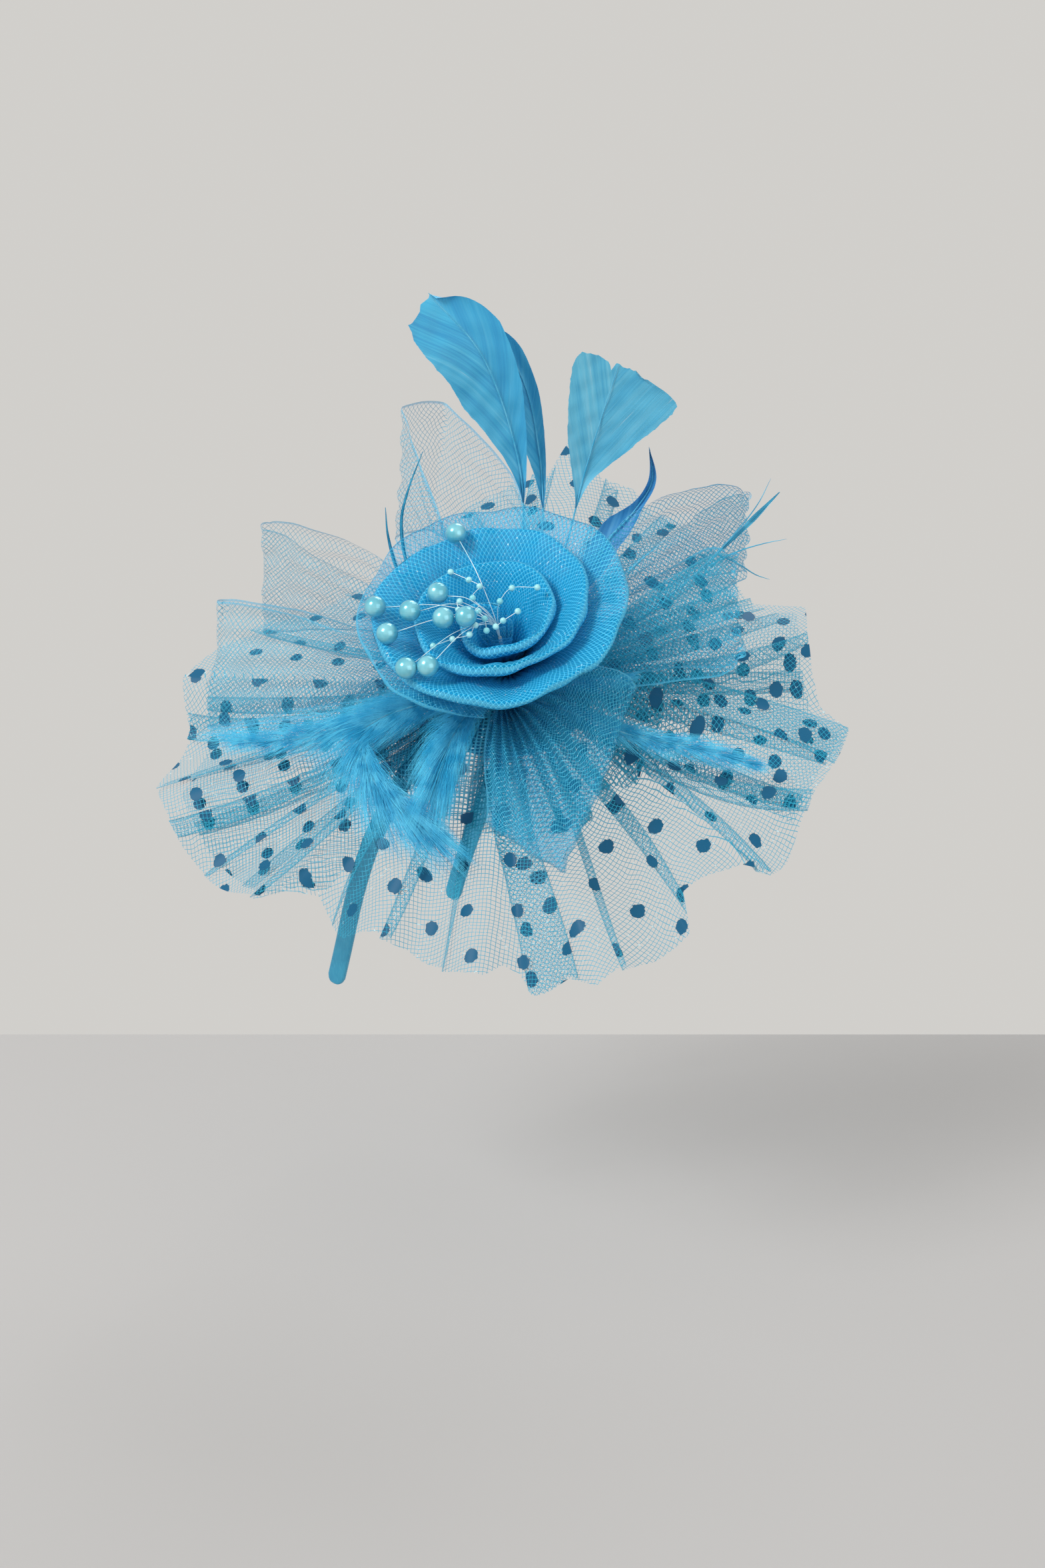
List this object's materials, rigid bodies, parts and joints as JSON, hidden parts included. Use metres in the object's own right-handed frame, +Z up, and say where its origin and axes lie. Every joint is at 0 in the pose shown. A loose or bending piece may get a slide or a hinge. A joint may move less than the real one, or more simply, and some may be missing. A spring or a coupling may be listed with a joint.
{
  "type": "fascinator headband",
  "caption": "Mesh ribbon rose with ribbon loops, feathers, a pearl spray and a dotted net frill on a narrow satin headband.",
  "frame": {"origin": "the inner face of the headband at its highest point, where it sits on the crown of the head", "axes": "+Z up as worn, away from the head; +X to the wearer's front; +Y to the wearer's left"},
  "size_m": [0.2968, 0.2179, 0.3211],
  "materials": {
    "satin": "satin ribbon wound tight over a plastic band, soft sheen",
    "felt": "matte felted disc",
    "net": "fine open net with flocked dark dots, nearly clear",
    "crin": "woven nylon mesh ribbon, glossy filaments, nearly clear in one layer",
    "feather": "dyed goose feather, satiny barbs",
    "plume": "dyed fluffy plume, matte fine barbs",
    "pearl": "pearlised plastic bead",
    "wire": "clear nylon thread with small pearlised beads"
  },
  "bodies": {
    "root": {"headband": "satin", "base_disc": "felt", "veil_frill": "net", "rose": "crin", "loop_left_high": "crin", "loop_left_low": "crin", "loop_top": "crin", "loop_right_high": "crin", "loop_right_low": "crin", "loop_front": "crin", "feather_tall_left": "feather", "feather_tall_right": "feather", "feather_wedge": "feather", "feather_blue": "feather", "biot_left_long": "feather", "biot_left_short": "feather", "biot_right_long": "feather", "plume_left": "plume", "plume_curled": "plume", "plume_front": "plume", "plume_right": "plume", "plume_right_short": "plume", "pearl_1": "pearl", "pearl_2": "pearl", "pearl_3": "pearl", "pearl_4": "pearl", "pearl_5": "pearl", "pearl_6": "pearl", "pearl_7": "pearl", "pearl_8": "pearl", "pearl_9": "pearl", "pearl_spray": "wire"}
  },
  "joints": []
}
